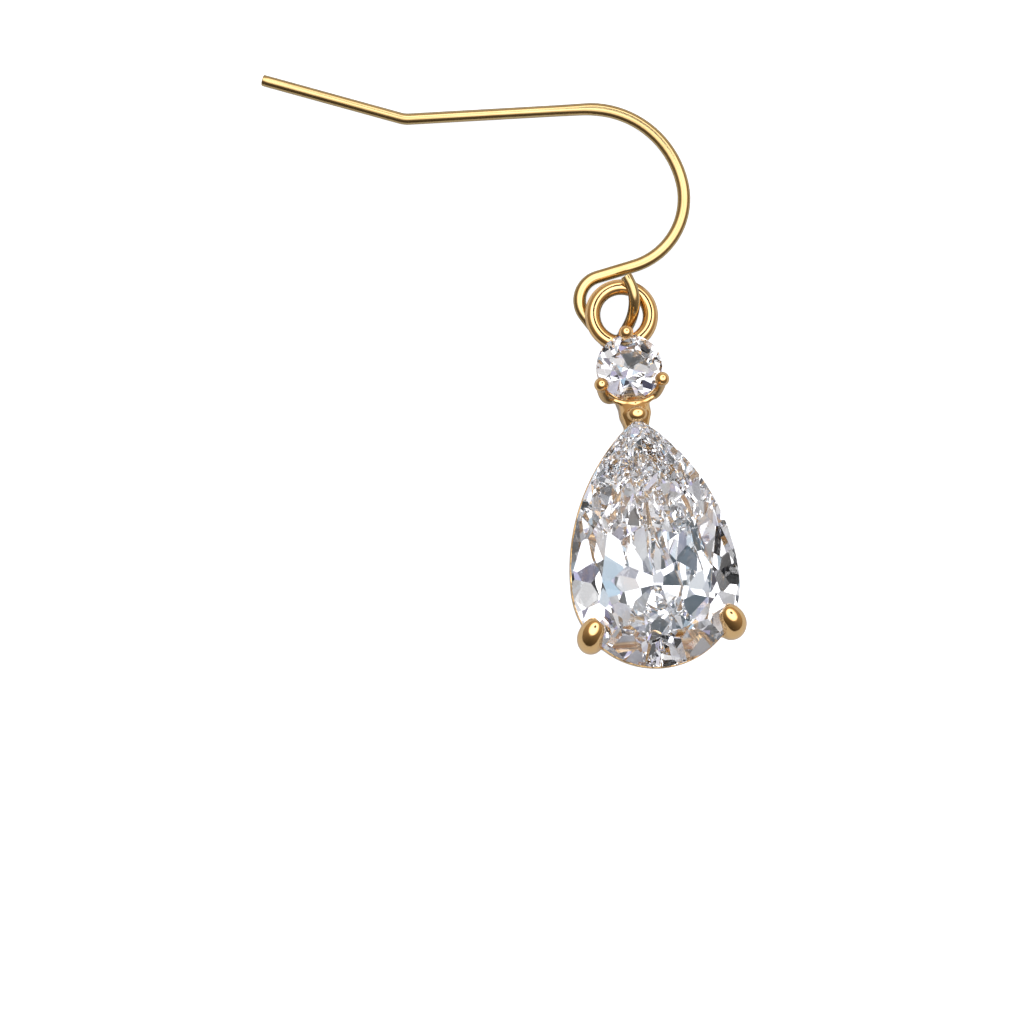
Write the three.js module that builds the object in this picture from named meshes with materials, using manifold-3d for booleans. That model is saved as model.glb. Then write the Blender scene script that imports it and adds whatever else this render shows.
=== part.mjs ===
// A teardrop earring lying on its back: a fish-hook ear wire, and a drop made of
// a ring, a small round stone and a pear-shaped stone in one cast setting.
// Millimetres. +Z is up, +Y runs from the drop towards the ear wire.

import * as THREE from 'three';
import { mergeVertices } from 'three/addons/utils/BufferGeometryUtils.js';
import Module from 'manifold-3d';

const manifold = await Module();
manifold.setup();

// Ear wire
const wire_dia = 0.7;
const wire_broadening = 0.13; // share by which the bent stretch is pressed broader
const tail_run = 8.8;
const kink_turn = 18.6;
const kink_radius = 1.8;
const shank_run = 10.8;
const bow_top_radius = 5.9;
const bow_top_turn = 80;
const bow_low_radius = 4.33;
const bow_low_turn = 86.5;
const neck_run = 2.4;
const throat_radius = 1.5;
const throat_turn = 110.7;
const turnback_turn = 114.6;
const eye_turn = 57;
const eye_heading = 299; // degrees, the way the wire sets out from its cut end

// Ring that links the drop to the ear wire
const ring_wire = 0.96;
const ring_hole = 2.6;
const link_gap = 0.08;

// Pear stone
const pear_length = 15;
const pear_width = 10;
const pear_girdle = 0.28;
const pear_crown = 1.2;
const pear_pavilion = 4.3;

// Round stone
const round_dia = 4;
const round_girdle = 0.1;
const round_crown = 0.62;
const round_pavilion = 1.7;

// Facets of the stones. Depths are shares of the pavilion's depth, or for facets between
// two main ones, shares of the depth of these two.
const half_slope = 45; // of the crown's facets by the girdle
const star_slope = 19; // of the crown's facets by the table
const half_places = [1 / 4, 3 / 4]; // between two main facets
const split_places = [1 / 8, 3 / 8, 5 / 8, 7 / 8];
const pear_halves = 1.2;
const pear_splits = 1.44;
const pear_inner = 0.91;
const inner_reach = 1.15; // how far outside the girdle an inner facet's plane would meet it
const round_mains = 8;
const round_main_slope = 34;
const round_main_depth = 1.02;
const round_halves = 1.06;

// Cast setting
const seat_gap = 0.07; // clearance between metal and stones
const stone_spacing = 1.28; // from the pear's tip to the round stone's edge
const round_set_back = 0.45; // how far the small stone sits behind the large one
const gallery_height = 0.8;
const gallery_wall = 0.75;
const gallery_proud = 0.05;
const claw_radius = 0.78;
const claw_azimuth = -34; // degrees from the stone's widest line
const strut_radius = 0.42;
const base_ring_radius = 1.3;
const base_ring_wire = 0.8;
const basket_height = 1.25;
const basket_foot = 0.25; // how much deeper than its height the basket reaches
const basket_wall = 0.45;
const basket_inset = 0.03; // from the round stone's edge
const bead_dia = 0.82;
const prong_azimuth = -28; // degrees, of the two lower beads
const prong_swing = 34; // degrees, by which their stalks lean in towards the neck
const prong_foot = 0.3; // above the basket's bottom
const neck_width = 1.9;
const neck_depth = 1.55; // of its end under the pear's tip
const neck_overlap = 0.8; // of the neck's foot and the pear's tip
const neck_cover = 0.28; // how far its front reaches over the pear's tip
const neck_rise = 0.28; // of its front above the girdle
const neck_slope = 0.1; // by which its ends lie lower than the stones' edges
const tip_bead_width = 1.12;
const ring_sink = 0.1; // of the link ring, below the middle of the basket

// How the drop lies
const drop_heading = 6.1; // degrees, its top towards -X
const drop_roll = 3; // degrees, its face towards +X

const WIRE_SIDES = 12;
const RING_SIDES = 12;
const RING_STEPS = 32;
const STRUT_SIDES = 8;
const BEAD_SIDES = 12;
const GIRDLE_STEP = 9; // degrees of turn for each flat of a stone's girdle
const BEND_STEP = 9; // degrees of turn for each section of the bent wire

const gold = { color: 0xd8a650, metalness: 1, roughness: 0.18 };
const crystal = { color: 0xf1f3f8, metalness: 0, roughness: 0.02, transparent: true, opacity: 0.45 };

const rad = THREE.MathUtils.degToRad;
const V3 = (x, y, z) => new THREE.Vector3(x, y, z);

// Solids in and out of the boolean library

function solidOf(geometry) {
  const bare = geometry.clone();
  bare.deleteAttribute('normal');
  bare.deleteAttribute('uv');
  const merged = mergeVertices(bare, 1e-5);
  return new manifold.Manifold(
    new manifold.Mesh({
      numProp: 3,
      vertProperties: new Float32Array(merged.attributes.position.array),
      triVerts: new Uint32Array(merged.index.array),
    }),
  );
}

function geometryOf(solid) {
  const mesh = solid.getMesh();
  const geometry = new THREE.BufferGeometry();
  geometry.setAttribute('position', new THREE.BufferAttribute(mesh.vertProperties, 3));
  geometry.setIndex(new THREE.BufferAttribute(mesh.triVerts, 1));
  return geometry;
}

function joinAll(geometries) {
  return geometries.map(solidOf).reduce((sum, next) => sum.add(next));
}

// A closed body through a row of equal rings of points, with flat ends.
function loft(rings) {
  const sides = rings[0].length;
  const corners = rings.flat();
  const first = corners.length;
  for (const ring of [rings[0], rings.at(-1)]) {
    const middle = ring.reduce((sum, p) => sum.add(p), V3(0, 0, 0)).divideScalar(sides);
    corners.push(middle);
  }
  const faces = [];
  for (let k = 0; k < rings.length - 1; k += 1) {
    for (let i = 0; i < sides; i += 1) {
      const j = (i + 1) % sides;
      const [a, b, c, d] = [k * sides + i, k * sides + j, (k + 1) * sides + j, (k + 1) * sides + i];
      faces.push(a, b, c, a, c, d);
    }
  }
  const last = (rings.length - 1) * sides;
  for (let i = 0; i < sides; i += 1) {
    const j = (i + 1) % sides;
    faces.push(first, j, i, first + 1, last + i, last + j);
  }
  const geometry = new THREE.BufferGeometry().setFromPoints(corners);
  geometry.setIndex(faces);
  return geometry;
}

// A round bar through stations {at, radius, broad}; broad widens it sideways and thins it.
function bar(stations, sides, up = V3(0, 0, 1)) {
  const rings = stations.map((here, k) => {
    const before = stations[Math.max(k - 1, 0)].at;
    const after = stations[Math.min(k + 1, stations.length - 1)].at;
    const along = after.clone().sub(before).normalize();
    const side = along.clone().cross(up).normalize();
    const top = side.clone().cross(along);
    const broad = here.broad ?? 0;
    return Array.from({ length: sides }, (_, i) => {
      const turn = (2 * Math.PI * (i + 0.5)) / sides;
      return here.at
        .clone()
        .addScaledVector(side, here.radius * (1 + broad) * Math.cos(turn))
        .addScaledVector(top, here.radius * (1 - broad) * Math.sin(turn));
    });
  });
  return loft(rings.map((ring) => ring.reverse()));
}

// Outlines of the stones, seen from the front. support(azimuth) is the distance
// from the centre to the tangent line whose normal points that way.

function circleOutline(radius) {
  return {
    support: () => radius,
    points(grow = 0) {
      const steps = Math.round(360 / GIRDLE_STEP);
      return Array.from({ length: steps }, (_, i) => {
        const turn = rad(i * GIRDLE_STEP);
        return new THREE.Vector2(Math.cos(turn), Math.sin(turn)).multiplyScalar(radius + grow);
      });
    },
  };
}

// A half circle below, and two longer arcs that meet in the tip.
function pearOutline(width, length) {
  const low = width / 2;
  const tip = length - low;
  const side = (tip * tip + low * low) / (2 * low);
  const tip_azimuth = THREE.MathUtils.radToDeg(Math.asin(tip / side));
  return {
    tip,
    support(azimuth) {
      const folded = azimuth > 90 ? 180 - azimuth : azimuth;
      if (folded <= 0) return low;
      if (folded < tip_azimuth) return side - (side - low) * Math.cos(rad(folded));
      return tip * Math.sin(rad(folded));
    },
    points(grow = 0) {
      const centre = side - low;
      const radius = side + grow;
      const top = Math.acos(centre / radius);
      const steps = Math.round(tip_azimuth / GIRDLE_STEP) + 2;
      const right = Array.from({ length: steps }, (_, i) => {
        const turn = (top * i) / steps;
        return new THREE.Vector2(radius * Math.cos(turn) - centre, radius * Math.sin(turn));
      });
      const apex = new THREE.Vector2(0, radius * Math.sin(top));
      const left = right.slice(1).reverse().map((p) => new THREE.Vector2(-p.x, p.y));
      const round_steps = Math.round(180 / GIRDLE_STEP);
      const under = Array.from({ length: round_steps }, (_, i) => {
        const turn = Math.PI + (Math.PI * i) / round_steps;
        return new THREE.Vector2(Math.cos(turn), Math.sin(turn)).multiplyScalar(low + grow);
      });
      return [...right, apex, ...left, ...under];
    },
  };
}

// A cut stone. Its girdle's lower edge is at z = 0. Each facet is a plane through the
// girdle's edge, tangent to the outline at an azimuth, and cuts a prism of the outline.
function cutStone(outline, sizes, facets, grow = 0) {
  const { girdle, crown, pavilion } = sizes;
  const prism = new THREE.ExtrudeGeometry(new THREE.Shape(outline.points(grow)), {
    depth: girdle + crown + pavilion + 2 * grow,
    bevelEnabled: false,
  }).translate(0, 0, -pavilion - grow);
  let stone = solidOf(prism);
  // Keeps what lies behind the plane with this outward normal, through this point.
  const cut = (normal, point) => {
    const unit = normal.normalize();
    stone = stone.trimByPlane(unit.clone().negate().toArray(), -(unit.dot(point) + grow));
  };
  const crownCut = (azimuth, slope, inset, height) => {
    const out = V3(Math.cos(rad(azimuth)), Math.sin(rad(azimuth)), 0);
    const point = out.clone().multiplyScalar(outline.support(azimuth) - inset).setZ(height);
    cut(out.multiplyScalar(Math.sin(rad(slope))).setZ(Math.cos(rad(slope))), point);
  };
  // reach and depth are where the plane meets z = 0 and the axis, as shares.
  const pavilionCut = (azimuth, reach, depth) => {
    const out = V3(Math.cos(rad(azimuth)), Math.sin(rad(azimuth)), 0);
    const far = outline.support(azimuth) * reach;
    cut(out.clone().divideScalar(far).setZ(-1 / (pavilion * depth)), out.multiplyScalar(far));
  };
  cut(V3(0, 0, 1), V3(0, 0, girdle + crown));
  for (const f of facets.crown) crownCut(f.azimuth, f.slope, 0, girdle);
  for (const f of facets.stars) crownCut(f.azimuth, f.slope, f.inset, girdle + crown);
  for (const f of facets.pavilion) pavilionCut(f.azimuth, f.reach, f.depth);
  return stone;
}

// All facets of a stone from its main ones. Between two neighbours lie, on the crown, two
// steep facets by the girdle and a star by the table. On the pavilion two steep ones lie
// there, four steeper ones between two marked split, and a flatter one further in, which
// the two keel facets of the tip lack.
function facetPlan(crown_mains, pavilion_mains, style) {
  const gaps = (mains) => mains.map((m, i) => {
    const next = mains[(i + 1) % mains.length];
    const span = (next.azimuth - m.azimuth + 360) % 360;
    const place = (share) => {
      const azimuth = m.azimuth + span * share;
      return azimuth > 270 ? azimuth - 360 : azimuth;
    };
    const depth = (m.depth + next.depth) / 2;
    return { place, depth, split: m.split && next.split, keel: m.keel && next.keel };
  });
  const crown = [...crown_mains];
  const stars = [];
  for (const { place } of gaps(crown_mains)) {
    for (const share of half_places) crown.push({ azimuth: place(share), slope: half_slope });
    stars.push({ azimuth: place(1 / 2), slope: star_slope, inset: style.star_inset });
  }
  const pavilion = pavilion_mains.map((m) => ({ azimuth: m.azimuth, reach: 1, depth: m.depth }));
  for (const { place, depth, split, keel } of gaps(pavilion_mains)) {
    for (const share of half_places) {
      pavilion.push({ azimuth: place(share), reach: 1, depth: depth * style.halves });
    }
    for (const share of split ? split_places : []) {
      pavilion.push({ azimuth: place(share), reach: 1, depth: depth * style.splits });
    }
    if (style.inner && !keel) {
      pavilion.push({ azimuth: place(1 / 2), reach: inner_reach, depth: depth * style.inner });
    }
  }
  return { crown, stars, pavilion };
}

function mirrored(rows) {
  const beside = rows.filter((row) => Math.abs(row.azimuth) !== 90);
  return [...rows, ...beside.map((row) => ({ ...row, azimuth: 180 - row.azimuth })).reverse()];
}

const pear_outline = pearOutline(pear_width, pear_length);
const pear_sizes = { girdle: pear_girdle, crown: pear_crown, pavilion: pear_pavilion };
const pear_facets = facetPlan(
  mirrored([
    { azimuth: -90, slope: 34 },
    { azimuth: -60, slope: 34 },
    { azimuth: -30, slope: 35 },
    { azimuth: 0, slope: 35 },
    { azimuth: 27, slope: 37 },
    { azimuth: 49, slope: 42 },
    { azimuth: 90, slope: 36 },
  ]),
  mirrored([
    { azimuth: -90, depth: 1.04, split: true },
    { azimuth: -62, depth: 1.04, split: true },
    { azimuth: -34, depth: 1.04, split: true },
    { azimuth: -8, depth: 1.04, split: true },
    { azimuth: 14, depth: 1.04 },
    { azimuth: 30, depth: 1.1 },
    { azimuth: 46, depth: 1.25, keel: true },
  ]),
  { star_inset: 0.19 * pear_width, halves: pear_halves, splits: pear_splits, inner: pear_inner },
);

const round_outline = circleOutline(round_dia / 2);
const round_sizes = { girdle: round_girdle, crown: round_crown, pavilion: round_pavilion };
const round_rows = Array.from({ length: round_mains }, (_, i) => ({
  azimuth: (i * 360) / round_mains - 90,
  slope: round_main_slope,
  depth: round_main_depth,
}));
const round_facets = facetPlan(round_rows, round_rows, {
  star_inset: 0.25 * round_dia,
  halves: round_halves,
});

const pearStone = (grow) => cutStone(pear_outline, pear_sizes, pear_facets, grow);
const roundStone = (grow) => cutStone(round_outline, round_sizes, round_facets, grow);

// Places on the drop. Its own origin is on the pear stone's girdle, in front of the
// culet, with +Y along the drop to the ring and +Z out of the stone's face.

const round_y = pear_outline.tip + stone_spacing + round_dia / 2;
const round_z = -round_set_back;
const basket_bottom = round_z - basket_foot - basket_height;
const ring_radius = (ring_hole + ring_wire) / 2;
const ring_y = round_y + round_dia / 2 - ring_wire / 3 + ring_radius;
const ring_z = round_z - 0.6 * basket_height - ring_sink;
const base_ring_z = -pear_pavilion - seat_gap;

function baseRing() {
  return new THREE.TorusGeometry(base_ring_radius, base_ring_wire / 2, STRUT_SIDES, RING_STEPS / 2)
    .translate(0, 0, base_ring_z);
}

function gallery() {
  const shape = new THREE.Shape(pear_outline.points(gallery_proud));
  shape.holes.push(new THREE.Path(pear_outline.points(-gallery_wall)));
  return new THREE.ExtrudeGeometry(shape, { depth: gallery_height, bevelEnabled: false })
    .translate(0, 0, -gallery_height - seat_gap);
}

// A claw of the pear setting: up from the base ring, outside the girdle, and over the crown.
function claw(azimuth) {
  const half = pear_width / 2;
  const rim = pear_girdle + seat_gap;
  const rows = [
    { out: base_ring_radius, z: base_ring_z, radius: strut_radius },
    { out: 0.55 * half, z: -0.7 * pear_pavilion, radius: strut_radius },
    { out: half - 0.7 * claw_radius, z: -0.42 * pear_pavilion, radius: 1.15 * strut_radius },
    { out: half + 0.05 * claw_radius, z: -1.3 * claw_radius, radius: 0.84 * claw_radius },
    { out: half + 0.28 * claw_radius, z: rim - 0.6 * claw_radius, radius: claw_radius },
    { out: half + 0.22 * claw_radius, z: rim + 0.15 * claw_radius, radius: claw_radius },
    { out: half - 0.1 * claw_radius, z: rim + 0.6 * claw_radius, radius: 0.9 * claw_radius },
    { out: half - 0.5 * claw_radius, z: rim + 0.78 * claw_radius, radius: 0.7 * claw_radius },
    { out: half - 0.85 * claw_radius, z: rim + 0.82 * claw_radius, radius: 0.4 * claw_radius },
  ];
  const out = V3(Math.cos(rad(azimuth)), Math.sin(rad(azimuth)), 0);
  const side = V3(-out.y, out.x, 0);
  return bar(
    rows.map((r) => ({ at: out.clone().multiplyScalar(r.out).setZ(r.z), radius: r.radius })),
    BEAD_SIDES,
    side,
  );
}

// The strut under the stone's keel, from the base ring to the neck.
function keelStrut() {
  const top = pear_outline.tip;
  return bar(
    [
      { at: V3(0, 0.8 * base_ring_radius, base_ring_z), radius: strut_radius },
      { at: V3(0, 0.4 * top, base_ring_z + 0.32 * pear_pavilion), radius: strut_radius },
      { at: V3(0, top, -0.9 * neck_depth), radius: 1.2 * strut_radius },
    ],
    STRUT_SIDES,
  );
}

// The neck between the two settings: an arched block whose front covers the pear's tip
// and whose other end flares into the round basket.
function neck() {
  const tip = pear_outline.tip;
  const end = round_y - 0.45 * round_dia;
  const front = pear_girdle + neck_rise;
  const rows = [
    { y: tip - neck_overlap, width: 0.7, top: -neck_slope, under: -neck_depth },
    { y: tip - neck_cover, width: 0.88, top: front, under: -neck_depth },
    { y: tip + 0.2 * (end - tip), width: 1, top: front, under: -neck_depth },
    { y: tip + 0.65 * (end - tip), width: 0.98, top: front / 2, under: basket_bottom },
    { y: end, width: 1.1, top: round_z - neck_slope, under: basket_bottom },
  ];
  return loft(
    rows.map((r) => {
      const half = (neck_width / 2) * r.width;
      const arch = 0.55 * half;
      const foot = 0.62 * half;
      const section = [V3(-foot, r.y, r.under), V3(-half, r.y, r.top - arch)];
      for (const turn of [150, 120, 90, 60, 30]) {
        section.push(V3(half * Math.cos(rad(turn)), r.y, r.top - arch * (1 - Math.sin(rad(turn)))));
      }
      section.push(V3(half, r.y, r.top - arch), V3(foot, r.y, r.under));
      return section;
    }),
  );
}

// The bead that holds the pear stone's tip.
function tipBead() {
  const half = tip_bead_width / 2;
  return new THREE.SphereGeometry(half, BEAD_SIDES, BEAD_SIDES / 2)
    .scale(1, 0.65, 0.9)
    .translate(0, pear_outline.tip + 0.56 * half, pear_girdle + neck_rise);
}

// The small open basket: a tapered collar with three beaded prongs.
function basket() {
  const top = round_z - seat_gap;
  const outer = round_dia / 2 - basket_inset;
  const foot = 0.78 * outer;
  const profile = [
    new THREE.Vector2(outer - basket_wall, top),
    new THREE.Vector2(foot - basket_wall, basket_bottom),
    new THREE.Vector2(foot, basket_bottom),
    new THREE.Vector2(outer, top - 0.45 * basket_height),
    new THREE.Vector2(outer, top),
    new THREE.Vector2(outer - basket_wall, top),
  ];
  return new THREE.LatheGeometry(profile, RING_STEPS).rotateX(Math.PI / 2).translate(0, round_y, 0);
}

// A beaded prong. Its stalk starts at the basket's foot, nearer the drop's axis by the swing.
function prong(azimuth, swing) {
  const edge = round_dia / 2;
  const bead_z = round_z + round_girdle + 0.3 * bead_dia;
  const rows = [
    { swing: 1, out: 0.72 * edge, z: basket_bottom + prong_foot, thick: 0.52 },
    { swing: 0.6, out: 0.98 * edge, z: round_z - 0.85 * basket_height, thick: 0.6 },
    { swing: 0.3, out: edge + 0.08 * bead_dia, z: round_z - 0.4 * basket_height, thick: 0.54 },
    { swing: 0, out: edge + 0.12 * bead_dia, z: bead_z, thick: 0.42 },
  ];
  const stations = rows.map((row) => {
    const turn = rad(azimuth - row.swing * swing);
    const at = V3(row.out * Math.cos(turn), round_y + row.out * Math.sin(turn), row.z);
    return { at, radius: row.thick * bead_dia };
  });
  const bead = new THREE.SphereGeometry(bead_dia / 2, BEAD_SIDES, BEAD_SIDES / 2)
    .translate(...stations.at(-1).at.toArray());
  return [bar(stations, STRUT_SIDES), bead];
}

function linkRing() {
  return new THREE.TorusGeometry(ring_radius, ring_wire / 2, RING_SIDES, RING_STEPS)
    .translate(0, ring_y, ring_z);
}

function setting() {
  const metal = joinAll([
    baseRing(),
    gallery(),
    claw(claw_azimuth),
    claw(180 - claw_azimuth),
    keelStrut(),
    neck(),
    tipBead(),
    basket(),
    ...prong(90, 0),
    ...prong(prong_azimuth, prong_swing),
    ...prong(180 - prong_azimuth, -prong_swing),
    linkRing(),
  ]);
  const round = roundStone(seat_gap).translate([0, round_y, round_z]);
  return metal.subtract(pearStone(seat_gap)).subtract(round);
}

// The drop lies on its base ring and leans until its link ring lies just above the
// ear wire's eye: across * cos(lean) - along * sin(lean) = rise.
function dropPose() {
  const across = ring_z - base_ring_z;
  const along = ring_y - base_ring_radius;
  const rise = wire_dia + ring_wire / 2 + link_gap - base_ring_wire / 2;
  const lean = Math.acos(rise / Math.hypot(across, along)) - Math.atan2(along, across);
  const upright = Math.cos(lean) * Math.cos(rad(drop_roll));
  const base = base_ring_radius * Math.sqrt(1 - upright * upright) + base_ring_wire / 2;
  return { lean, height: base - base_ring_z * upright };
}

// The ear wire's centre line, walked from the cut end of its eye to the tip of its tail.
// The eye's lengths are shares of the link ring's outer diameter, because it goes through it.
function earWire(ring_centre, lean) {
  const ring = ring_hole + 2 * ring_wire;
  const eye = { lead: 0.08 * ring, radius: 0.61 * ring, lap: 0.18 * ring };
  const walk = [
    { run: eye.lead, radius: eye.radius, turn: -eye_turn, broad: 0 },
    { run: eye.lap, radius: 0.15 * ring, turn: -turnback_turn, broad: 0 },
    { run: 0.42 * ring, radius: throat_radius, turn: -throat_turn, broad: 1 },
    { run: neck_run, radius: bow_low_radius, turn: bow_low_turn, broad: 1 },
    { run: 0, radius: bow_top_radius, turn: bow_top_turn, broad: 1 },
    { run: shank_run, radius: kink_radius, turn: -kink_turn, broad: 0 },
    { run: tail_run, radius: 0, turn: 0, broad: 0 },
  ];
  const flat = wire_dia / 2;
  const eye_top = ring_centre.z - ring_radius * Math.sin(lean) + (ring_wire + wire_dia) / 2 + link_gap;
  const eye_side = eye.lead + eye.radius * rad(eye_turn) + eye.lap;
  const fall = { from: 0.27 * eye_side, over: 0.79 * eye_side }; // where the eye comes down
  const stations = [];
  let at = V3(ring_centre.x + 0.056 * ring, ring_centre.y + 0.52 * ring, 0);
  let heading = eye_heading;
  let travelled = 0;
  const drop = (broad) => {
    const share = THREE.MathUtils.clamp((travelled - fall.from) / fall.over, 0, 1);
    const lift = ((eye_top - flat) * (1 + Math.cos(Math.PI * share))) / 2;
    stations.push({ at: at.clone().setZ(flat + lift), radius: flat, broad: broad * wire_broadening });
  };
  drop(0);
  for (const { run, radius, turn, broad } of walk) {
    const along = V3(Math.cos(rad(heading)), Math.sin(rad(heading)), 0);
    const fine = travelled < eye_side;
    const run_steps = run > 0 ? (fine ? 2 : 1) : 0;
    const before = stations.at(-1).broad / wire_broadening;
    for (let k = 1; k <= run_steps; k += 1) {
      at = at.clone().addScaledVector(along, run / run_steps);
      travelled += run / run_steps;
      drop(Math.max(0, Math.min(before, broad)));
    }
    const steps = Math.ceil(Math.abs(turn) / BEND_STEP);
    const centre = at.clone().add(V3(-along.y, along.x, 0).multiplyScalar(radius * Math.sign(turn)));
    const spoke = at.clone().sub(centre);
    for (let k = 1; k <= steps; k += 1) {
      at = spoke.clone().applyAxisAngle(V3(0, 0, 1), rad((turn * k) / steps)).add(centre);
      travelled += (radius * rad(Math.abs(turn))) / steps;
      drop(broad);
    }
    heading += turn;
  }
  return bar(stations, WIRE_SIDES);
}

function piece(name, geometry, look) {
  const mesh = new THREE.Mesh(geometry, new THREE.MeshStandardMaterial(look));
  mesh.name = name;
  return mesh;
}

const pose = dropPose();
const drop = new THREE.Group();
drop.rotation.set(-pose.lean, rad(drop_roll), rad(drop_heading), 'ZXY');
drop.position.z = pose.height;
const small_stone = piece('round_stone', geometryOf(roundStone(0)), crystal);
small_stone.position.set(0, round_y, round_z);
drop.add(
  piece('drop_setting', geometryOf(setting()), gold),
  piece('pear_stone', geometryOf(pearStone(0)), crystal),
  small_stone,
);
drop.updateMatrixWorld(true);
const ring_centre = drop.localToWorld(V3(0, ring_y, ring_z));
const hook = piece('ear_hook', earWire(ring_centre, pose.lean), gold);

const earring = new THREE.Group();
earring.add(hook, drop);
const bounds = new THREE.Box3().setFromObject(earring, true);
const middle = bounds.getCenter(V3(0, 0, 0));
earring.position.set(-middle.x, -middle.y, -bounds.min.z);

const part = new THREE.Group();
part.add(earring);
part.updateMatrixWorld(true);

export default part;
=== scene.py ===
# %% [markdown]
# # A teardrop earring, lying on its back
# The earring is two loose parts: a bent ear wire, and a cast drop that carries a small
# round stone above a large pear-shaped one. Both were measured and built as solids first.
# This script keeps the cut stones of that model, because their flat facets are exact. It
# makes the metal again with finer surfaces, because gold shows each unevenness in its
# highlights.

# %% Load the measured model
import math

import bmesh
import bpy
from mathutils import Matrix, Vector


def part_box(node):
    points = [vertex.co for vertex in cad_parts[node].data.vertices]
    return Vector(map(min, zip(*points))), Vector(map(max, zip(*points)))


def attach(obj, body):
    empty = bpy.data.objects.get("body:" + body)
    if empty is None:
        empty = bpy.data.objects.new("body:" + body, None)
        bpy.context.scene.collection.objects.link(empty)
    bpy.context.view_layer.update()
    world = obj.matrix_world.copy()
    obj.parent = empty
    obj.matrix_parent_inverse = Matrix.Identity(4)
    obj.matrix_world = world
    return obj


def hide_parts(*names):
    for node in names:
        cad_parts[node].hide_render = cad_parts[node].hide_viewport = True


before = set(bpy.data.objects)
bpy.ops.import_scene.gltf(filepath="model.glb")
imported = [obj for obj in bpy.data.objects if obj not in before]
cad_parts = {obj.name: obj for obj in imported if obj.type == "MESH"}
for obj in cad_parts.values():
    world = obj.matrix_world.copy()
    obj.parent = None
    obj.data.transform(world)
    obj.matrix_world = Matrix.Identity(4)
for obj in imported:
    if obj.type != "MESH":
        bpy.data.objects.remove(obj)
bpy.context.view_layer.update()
MM = 0.001

# %% [markdown]
# ## Camera
# The picture is taken from straight above, with the drop a little to the right of the
# middle. The lens follows from the camera's height and from how much of the table one
# pixel covers. The camera comes first, so that each later step can be looked at.

# %% Camera above the table
IMAGE_WIDTH = 1024  # pixels
camera_height = 120.0  # millimetres above the table
table_per_pixel = 0.0618  # millimetres, at the height of the wire's middle
wire_level = 0.35
aim_x, aim_y = 0.796, -8.828  # millimetres, the point in the middle of the picture

camera_data = bpy.data.cameras.new("camera")
camera_data.sensor_width = 36.0
camera_data.lens = (
    camera_data.sensor_width * (camera_height - wire_level) / (table_per_pixel * IMAGE_WIDTH)
)
camera_data.clip_start = 0.001
camera = bpy.data.objects.new("camera", camera_data)
camera.location = (aim_x * MM, aim_y * MM, camera_height * MM)
bpy.context.scene.collection.objects.link(camera)
bpy.context.scene.camera = camera
print("lens", round(camera_data.lens, 2), "mm")

# %% [markdown]
# ## Where the drop lies
# The drop leans on the small ring behind its large stone, so nothing on it is square to
# the table. Its metal is easiest to model upright, in millimetres, and to lay down at the
# end. The stone tells how it lies: its table facet is the largest flat face, and its tip
# is the corner farthest from its middle.

# %% Measure the pear stone
pear_length, pear_width = 15.0, 10.0
pear_girdle, pear_crown, pear_pavilion = 0.28, 1.2, 4.3


def lie_of(stone):
    """The matrix from the upright drop, in millimetres, to the stone as it lies, in metres."""
    faces = stone.data.polygons
    out = max(faces, key=lambda face: face.area).normal.normalized()
    area = sum(face.area for face in faces)
    middle = sum((face.center * face.area for face in faces), Vector()) / area
    corners = [vertex.co for vertex in stone.data.vertices]
    tip = max(corners, key=lambda corner: (corner - middle).length)
    along = (tip - middle) - out * (tip - middle).dot(out)
    along.normalize()
    across = along.cross(out)
    top = max(corner.dot(out) for corner in corners) - (pear_girdle + pear_crown) * MM
    far = max(corner.dot(along) for corner in corners) - (pear_length - pear_width / 2) * MM
    origin = across * middle.dot(across) + along * far + out * top
    turn = Matrix((across, along, out)).transposed().to_4x4()
    return Matrix.Translation(origin) @ turn @ Matrix.Scale(MM, 4)


drop_lie = lie_of(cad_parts["pear_stone"])
drop_upright = drop_lie.inverted()
print("drop's own origin at", [round(v / MM, 3) for v in drop_lie.translation], "mm")

# %% [markdown]
# ## Rods
# A bent wire, a claw and a strut are all the same thing: a circle that is extruded from
# station to station while it turns and changes its size. A station says where the rod's
# middle is and how thick the rod is there, and may make it broader than it is high.

# %% Place the circle at a station


def section_place(stations, k, up):
    """The matrix that puts a unit circle at station k, square to the rod's direction."""
    before = stations[max(k - 1, 0)]["at"]
    after = stations[min(k + 1, len(stations) - 1)]["at"]
    along = (after - before).normalized()
    side = along.cross(up).normalized()
    wide = stations[k]["radius"] * stations[k].get("wide", 1.0)
    high = stations[k]["radius"] * stations[k].get("high", 1.0)
    turn = Matrix((side * wide, side.cross(along) * high, along)).transposed().to_4x4()
    return Matrix.Translation(stations[k]["at"]) @ turn


# %% [markdown]
# One helper extrudes the circle for every rod. It also notes on each corner where it is
# around the rod and along it, which lets a finish follow the metal the way it was drawn.

# %% Extrude the circle from station to station


def edges_at(corners):
    """The edges that meet the given corners, each once and always in the same order."""
    return list(dict.fromkeys(edge for corner in corners for edge in corner.link_edges))


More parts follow.
